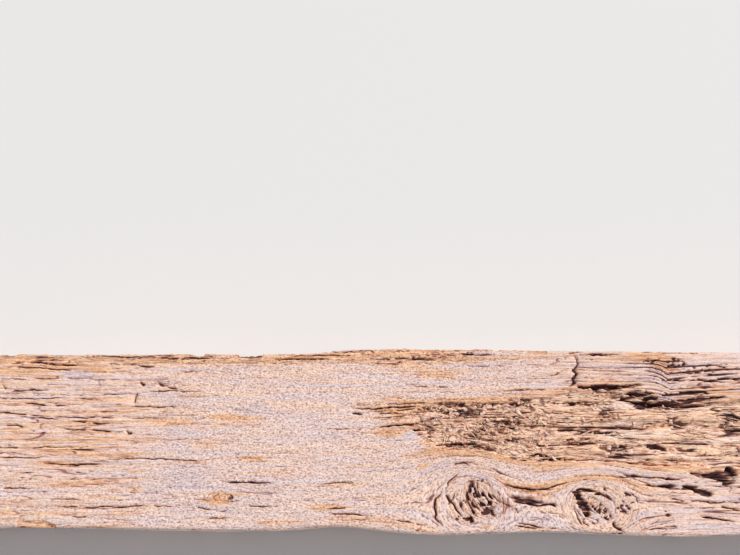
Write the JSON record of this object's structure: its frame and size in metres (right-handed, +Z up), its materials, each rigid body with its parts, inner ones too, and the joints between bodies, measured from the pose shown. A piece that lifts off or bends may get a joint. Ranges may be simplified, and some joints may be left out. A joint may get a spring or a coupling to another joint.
{
  "type": "railway sleeper",
  "caption": "Weathered timber railway sleeper with a rotted hollow, knots and drying checks, baseplate seats and screw holes.",
  "frame": {"origin": "middle of the bed face, on the ground", "axes": "+X along the sleeper, +Y across it away from the picture's near edge, +Z up out of the top face"},
  "size_m": [2.6, 0.2654, 0.15],
  "materials": {
    "timber": "matte"
  },
  "bodies": {
    "root": {"sleeper": "timber"}
  },
  "joints": []
}
